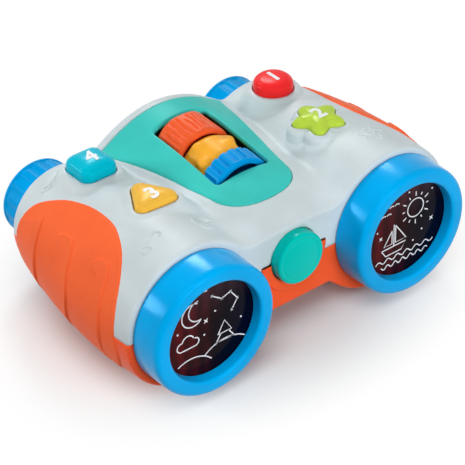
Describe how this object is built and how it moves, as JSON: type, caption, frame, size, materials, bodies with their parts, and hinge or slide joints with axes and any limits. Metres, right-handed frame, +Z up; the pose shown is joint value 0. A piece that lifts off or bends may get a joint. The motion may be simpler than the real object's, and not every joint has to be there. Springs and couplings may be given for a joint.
{
  "type": "toy binoculars",
  "caption": "Child's pretend binoculars: two stubby barrels joined by an arched bridge, with push buttons, spinning textured rollers, printed front lenses and ribbed eyepieces.",
  "frame": {"origin": "under the middle of the whole object, on the surface it stands on", "axes": "+X across the two barrels, to the right as seen from the lens side, +Y from the front lenses towards the eyepieces, +Z up"},
  "size_m": [0.1792, 0.131, 0.0749],
  "materials": {
    "white_shell": "satin moulded off-white",
    "orange_shell": "satin moulded orange",
    "orange_grip": "satin moulded orange with shallow curved grooves",
    "teal_panel": "glossy teal",
    "blue_ring": "high gloss bright blue",
    "blue_eyepiece": "satin bright blue, ribbed",
    "lens_print": "glossy dark disc with thin white line drawing",
    "clear_window": "glossy smoked",
    "light_cup": "white reflector",
    "red_button": "glossy red",
    "lime_button": "glossy lime",
    "yellow_button": "glossy yellow",
    "cyan_button": "glossy cyan",
    "teal_button": "glossy teal",
    "blue_roller": "satin blue",
    "yellow_roller": "satin yellow",
    "orange_roller": "satin orange",
    "silicone": "soft translucent grey",
    "board": "green circuit board",
    "black_plastic": "fine matt black",
    "speaker": "dark metal basket",
    "battery": "plain sleeved metal can",
    "steel": "zinc plated"
  },
  "bodies": {
    "casing": {"upper_casing": "white_shell", "lower_casing": "orange_shell", "top_panel": "teal_panel", "roller_cradle": "black_plastic", "roller_axle": "steel", "front_button_dome": "silicone", "front_button_board": "board", "main_board": "board", "speaker": "speaker", "front_battery_contact": "steel", "rear_battery_contact": "steel", "power_switch": "black_plastic", "left_grip": "orange_grip", "left_button_board": "board", "left_lens_ring": "blue_ring", "left_lens_window": "lens_print", "left_light_cup": "light_cup", "left_lamp_board": "board", "right_grip": "orange_grip", "right_button_board": "board", "right_lens_ring": "blue_ring", "right_lens_window": "lens_print", "right_light_cup": "light_cup", "right_lamp_board": "board", "round_button_dome": "silicone", "star_button_dome": "silicone", "triangle_button_dome": "silicone", "square_button_dome": "silicone", "battery_1": "battery", "battery_2": "battery", "battery_3": "battery", "casing_screw_1": "steel", "casing_screw_2": "steel", "casing_screw_3": "steel", "casing_screw_4": "steel", "casing_screw_5": "steel", "casing_screw_6": "steel"},
    "round_button": {"round_button": "red_button"},
    "star_button": {"star_button": "lime_button"},
    "triangle_button": {"triangle_button": "yellow_button"},
    "square_button": {"square_button": "cyan_button"},
    "front_button": {"front_button": "teal_button"},
    "front_roller": {"front_roller": "blue_roller"},
    "middle_roller": {"middle_roller": "yellow_roller"},
    "rear_roller": {"rear_roller": "orange_roller"},
    "left_eyepiece": {"left_eyepiece": "blue_eyepiece", "left_eyepiece_window": "clear_window"},
    "right_eyepiece": {"right_eyepiece": "blue_eyepiece", "right_eyepiece_window": "clear_window"},
    "power_switch_knob": {"power_switch_knob": "black_plastic"},
    "battery_door": {"battery_door": "orange_shell", "battery_door_screw_1": "steel", "battery_door_screw_2": "steel"}
  },
  "joints": [
    {"name": "round_button_press", "type": "slide", "parent": "casing", "child": "round_button", "axis": [0, 0, -1], "range_m": [0, 0.0025], "stiffness_N_per_m": 400, "deforming": ["round_button_dome"]},
    {"name": "star_button_press", "type": "slide", "parent": "casing", "child": "star_button", "axis": [0, 0, -1], "range_m": [0, 0.0025], "stiffness_N_per_m": 400, "deforming": ["star_button_dome"]},
    {"name": "triangle_button_press", "type": "slide", "parent": "casing", "child": "triangle_button", "axis": [0, 0, -1], "range_m": [0, 0.0025], "stiffness_N_per_m": 400, "deforming": ["triangle_button_dome"]},
    {"name": "square_button_press", "type": "slide", "parent": "casing", "child": "square_button", "axis": [0, 0, -1], "range_m": [0, 0.0025], "stiffness_N_per_m": 400, "deforming": ["square_button_dome"]},
    {"name": "front_button_press", "type": "slide", "parent": "casing", "child": "front_button", "axis": [0, 1, 0], "range_m": [0, 0.0025], "stiffness_N_per_m": 400, "deforming": ["front_button_dome"]},
    {"name": "front_roller_spin", "type": "hinge", "parent": "casing", "child": "front_roller", "pos_m": [0, 0.0105, 0.0574], "axis": [0, 0.996, 0.0896], "continuous": true},
    {"name": "middle_roller_spin", "type": "hinge", "parent": "casing", "child": "middle_roller", "pos_m": [0, 0.0105, 0.0574], "axis": [0, 0.996, 0.0896], "continuous": true},
    {"name": "rear_roller_spin", "type": "hinge", "parent": "casing", "child": "rear_roller", "pos_m": [0, 0.0105, 0.0574], "axis": [0, 0.996, 0.0896], "continuous": true},
    {"name": "left_eyepiece_turn", "type": "hinge", "parent": "casing", "child": "left_eyepiece", "pos_m": [-0.054, 0.05, 0.0355], "axis": [0, 1, 0], "continuous": true},
    {"name": "right_eyepiece_turn", "type": "hinge", "parent": "casing", "child": "right_eyepiece", "pos_m": [0.054, 0.05, 0.0355], "axis": [0, 1, 0], "continuous": true},
    {"name": "power_switch_slide", "type": "slide", "parent": "casing", "child": "power_switch_knob", "axis": [1, 0, 0], "range_m": [-0.003, 0.003]},
    {"name": "battery_door_lift", "type": "slide", "parent": "casing", "child": "battery_door", "axis": [0, 0, -1], "range_m": [0, 0.012]}
  ]
}
